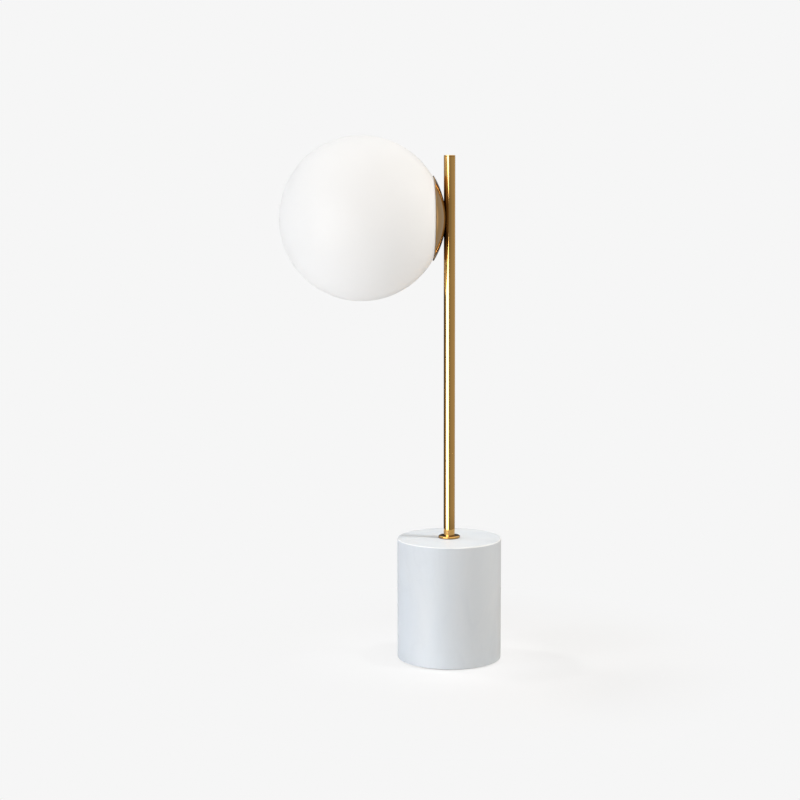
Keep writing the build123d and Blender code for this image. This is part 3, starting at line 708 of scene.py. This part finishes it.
# ---------------------------------------------------------------- floor and light
BACKGROUND = 0.9216  # the photograph's plain pale backdrop
FLOOR_RADIUS = 6.0
FLOOR_DROP = 0.3 * MM
SHADOW_NEAR = 0.14  # the floor takes its full share of shadow up to here
SHADOW_FAR = 0.36  # and none beyond here
SHADOW_SHARE = 0.38
SHADOW_SIDE = (-0.10, 0.06)  # to the left of this the floor's shadow is mostly covered by the pale background colour, as painted light
SHADOW_LEFT = 0.2  # the share of the shadow that is left there
FLOOR_STEPS = 96


def build_floor():
    """Large pale disc under the lamp."""
    mesh = bpy.data.meshes.new("floor")
    angles = [2 * pi * i / FLOOR_STEPS for i in range(FLOOR_STEPS)]
    edge = [
        (FLOOR_RADIUS * cos(angle), FLOOR_RADIUS * sin(angle), -FLOOR_DROP)
        for angle in angles
    ]
    mesh.from_pydata(edge, [], [tuple(range(FLOOR_STEPS))])
    mesh.materials.append(floor_material())
    floor = bpy.data.objects.new("floor", mesh)
    bpy.context.scene.collection.objects.link(floor)


def floor_material():
    """Near the lamp the floor takes some of its shadow, and further out it is
    as pale as the background. Polished metal sees past it to the studio."""
    material = bpy.data.materials.new("floor_pale")
    material.use_nodes = True
    tree = material.node_tree
    tree.nodes.clear()
    output = tree.nodes.new("ShaderNodeOutputMaterial")
    glow = tree.nodes.new("ShaderNodeEmission")
    glow.inputs["Color"].default_value = (BACKGROUND, BACKGROUND, BACKGROUND, 1.0)
    matt = tree.nodes.new("ShaderNodeBsdfDiffuse")
    matt.inputs["Color"].default_value = (BACKGROUND, BACKGROUND, BACKGROUND, 1.0)
    clear = tree.nodes.new("ShaderNodeBsdfTransparent")
    coordinates = tree.nodes.new("ShaderNodeTexCoord")
    length = tree.nodes.new("ShaderNodeVectorMath")
    length.operation = "LENGTH"
    tree.links.new(coordinates.outputs["Object"], length.inputs[0])
    nearness = smoothstep(
        tree, length.outputs["Value"], SHADOW_NEAR, SHADOW_FAR, SHADOW_SHARE, 0.0
    )
    split = tree.nodes.new("ShaderNodeSeparateXYZ")
    tree.links.new(coordinates.outputs["Object"], split.inputs[0])
    side = smoothstep(tree, split.outputs["X"], *SHADOW_SIDE, SHADOW_LEFT, 1.0)
    share = math_node(tree, "MULTIPLY", nearness, side)
    path = tree.nodes.new("ShaderNodeLightPath")
    unshaded = math_node(tree, "SUBTRACT", 1.0, share)
    glowing = math_node(tree, "MULTIPLY", path.outputs["Is Camera Ray"], unshaded)
    seen = tree.nodes.new("ShaderNodeMixShader")
    tree.links.new(glowing, seen.inputs["Fac"])
    tree.links.new(matt.outputs["BSDF"], seen.inputs[1])
    tree.links.new(glow.outputs["Emission"], seen.inputs[2])
    whole = tree.nodes.new("ShaderNodeMixShader")
    tree.links.new(path.outputs["Is Glossy Ray"], whole.inputs["Fac"])
    tree.links.new(seen.outputs["Shader"], whole.inputs[1])
    tree.links.new(clear.outputs["BSDF"], whole.inputs[2])
    tree.links.new(whole.outputs["Shader"], output.inputs["Surface"])
    return material


def aim(name, data, location, target):
    """Puts a lamp in its place and turns it to its target. Metal sees the
    studio of the world in its place."""
    light = bpy.data.objects.new(name, data)
    light.location = location
    direction = Vector(target) - Vector(location)
    light.rotation_euler = direction.to_track_quat("-Z", "Y").to_euler()
    light.visible_camera = False
    light.visible_glossy = False
    bpy.context.scene.collection.objects.link(light)


def softbox(name, location, target, width, height, watts, colour=WHITE):
    """A rectangular lamp that faces a target."""
    data = bpy.data.lights.new(name, "AREA")
    data.shape = "RECTANGLE"
    data.size = width
    data.size_y = height
    data.energy = watts
    data.color = colour
    aim(name, data, location, target)


SPOT_BLEND = 0.7


def spot(name, location, target, spread_angle, radius, watts, colour=WHITE):
    """A narrow lamp that lights one place."""
    data = bpy.data.lights.new(name, "SPOT")
    data.energy = watts
    data.color = colour
    data.spot_size = radians(spread_angle)
    data.spot_blend = SPOT_BLEND
    data.shadow_soft_size = radius
    aim(name, data, location, target)


AMBIENT = 0.47  # the even level that light from all round has on matt surfaces
# Levels that polished metal sees round the horizon: degrees from the front
# towards the right, and the level there.
STUDIO_LEVELS = [
    (-180, 0.04), (-135, 0.05), (-112, 0.16), (-90, 0.26), (-18, 0.34),
    (15, 0.33), (45, 0.42), (95, 0.42), (110, 0.42), (114, 0.8),
    (121, 0.8), (127, 0.40), (150, 0.34), (165, 0.16), (180, 0.04),
]
# Under the horizon comes a dark band, and then the pale floor. Over the
# horizon stands the pale backdrop, and a soft light hangs overhead.
DARK_FALL, DARK_LEVEL = (-0.20, -0.34), 0.12
FLOOR_FALL, FLOOR_LEVEL = (-0.42, -0.65), 0.75
BACK_RISE, BACKDROP_LEVEL = (0.24, 0.42), 0.9
CEILING_RISE, CEILING_LEVEL = (0.5, 0.8), 1.3
STRIP_FROM, STRIP_TO = -70, -24  # the softbox on the left, seen in the stem
STRIP_EDGE = 2
STRIP_LEVEL = 8.0
STRIP_HALF_HEIGHT = 0.35  # as the upward part of a direction
STRIP_FADE = 0.2


def round_horizon(tree, direction_angle, levels):
    """Levels round the horizon; the factor is 0 behind, 0.5 in front, 1 behind."""
    stops = [(turned_by / 360 + 0.5, (level, level, level)) for turned_by, level in levels]
    return ramp(tree, direction_angle, stops)


def beyond(tree, upward, rise, low, high):
    """Goes from one level to another as a direction rises or falls."""
    share = smoothstep(tree, upward, *rise, 0.0, 1.0)
    blend = tree.nodes.new("ShaderNodeMix")
    tree.links.new(share, blend.inputs["Factor"])
    tree.links.new(low, blend.inputs["A"])
    blend.inputs["B"].default_value = high
    return blend.outputs["Result"]


def world_light():
    """Cameras see the plain background, diffuse surfaces an even light, and
    metal a studio with a softbox on the left and dark flags behind."""
    world = bpy.data.worlds.new("studio")
    bpy.context.scene.world = world
    world.use_nodes = True
    world.cycles.sampling_method = "NONE"  # its level depends on the kind of ray
    tree = world.node_tree
    tree.nodes.clear()
    output = tree.nodes.new("ShaderNodeOutputWorld")
    path = tree.nodes.new("ShaderNodeLightPath")
    coordinates = tree.nodes.new("ShaderNodeTexCoord")
    split = tree.nodes.new("ShaderNodeSeparateXYZ")
    tree.links.new(coordinates.outputs["Generated"], split.inputs[0])
    front = math_node(tree, "MULTIPLY", split.outputs["Y"], -1.0)
    angle = math_node(tree, "ARCTAN2", split.outputs["X"], front)
    factor = math_node(tree, "ADD", math_node(tree, "DIVIDE", angle, 2 * pi), 0.5)
    studio = round_horizon(tree, factor, STUDIO_LEVELS)
    strip = round_horizon(tree, factor, [
        (STRIP_FROM - STRIP_EDGE, 0.0), (STRIP_FROM, 1.0),
        (STRIP_TO, 1.0), (STRIP_TO + STRIP_EDGE, 0.0),
    ])
    for rise, level in (
        (DARK_FALL, DARK_LEVEL),
        (FLOOR_FALL, FLOOR_LEVEL),
        (BACK_RISE, BACKDROP_LEVEL),
        (CEILING_RISE, CEILING_LEVEL),
    ):
        studio = beyond(tree, split.outputs["Z"], rise, studio, level)
    upward = math_node(tree, "ABSOLUTE", split.outputs["Z"])
    strip_end = STRIP_HALF_HEIGHT + STRIP_FADE
    fade = smoothstep(tree, upward, STRIP_HALF_HEIGHT, strip_end, STRIP_LEVEL, 0.0)
    seen = math_node(tree, "ADD", math_node(tree, "MULTIPLY", strip, fade), studio)
    gloss = tree.nodes.new("ShaderNodeBackground")
    gloss.inputs["Color"].default_value = (*WHITE, 1.0)
    tree.links.new(seen, gloss.inputs["Strength"])
    even = tree.nodes.new("ShaderNodeBackground")
    even.inputs["Color"].default_value = (*WHITE, 1.0)
    even.inputs["Strength"].default_value = AMBIENT
    plain = tree.nodes.new("ShaderNodeBackground")
    plain.inputs["Color"].default_value = (BACKGROUND, BACKGROUND, BACKGROUND, 1.0)
    first = tree.nodes.new("ShaderNodeMixShader")
    tree.links.new(path.outputs["Is Glossy Ray"], first.inputs["Fac"])
    tree.links.new(even.outputs[0], first.inputs[1])
    tree.links.new(gloss.outputs[0], first.inputs[2])
    second = tree.nodes.new("ShaderNodeMixShader")
    tree.links.new(path.outputs["Is Camera Ray"], second.inputs["Fac"])
    tree.links.new(first.outputs[0], second.inputs[1])
    tree.links.new(plain.outputs[0], second.inputs[2])
    tree.links.new(second.outputs[0], output.inputs["Surface"])


build_floor()
world_light()
middle = (0.0, 0.0, 0.3)
globe_middle = (-0.0963, 0.0, 0.4915)
softbox("key_upper_right", (0.9, -0.5, 1.6), middle, 0.8, 0.8, 5.2, (1.0, 0.97, 0.93))
softbox("top", (0.2, -0.1, 2.2), middle, 1.2, 1.2, 3.8)
softbox("front_high", (0.10, -0.65, 0.78), globe_centre, 0.4, 0.4, 1.4, (1.0, 0.93, 0.85))
softbox("left", (-1.3, -0.55, 0.30), middle, 0.6, 0.5, 6.2, (0.96, 0.97, 1.0))
softbox("right_back", (1.5, 0.6, 0.4), middle, 0.8, 1.2, 6.0, (1.0, 0.80, 0.55))
softbox("shadow_left_back", (-1.19, 0.60, 2.05), globe_middle, 0.25, 0.25, 9.0)
spot("stone_top", (0.40, -0.13, 1.45), (0.0, 0.0, base_top), 7, 0.10, 80.0)
spot("stone_left", (-1.25, -0.5, 0.25), (0.0, 0.0, 0.06), 9, 0.15, 45.0, (0.80, 0.86, 1.0))
bpy.context.scene.view_settings.view_transform = "Standard"
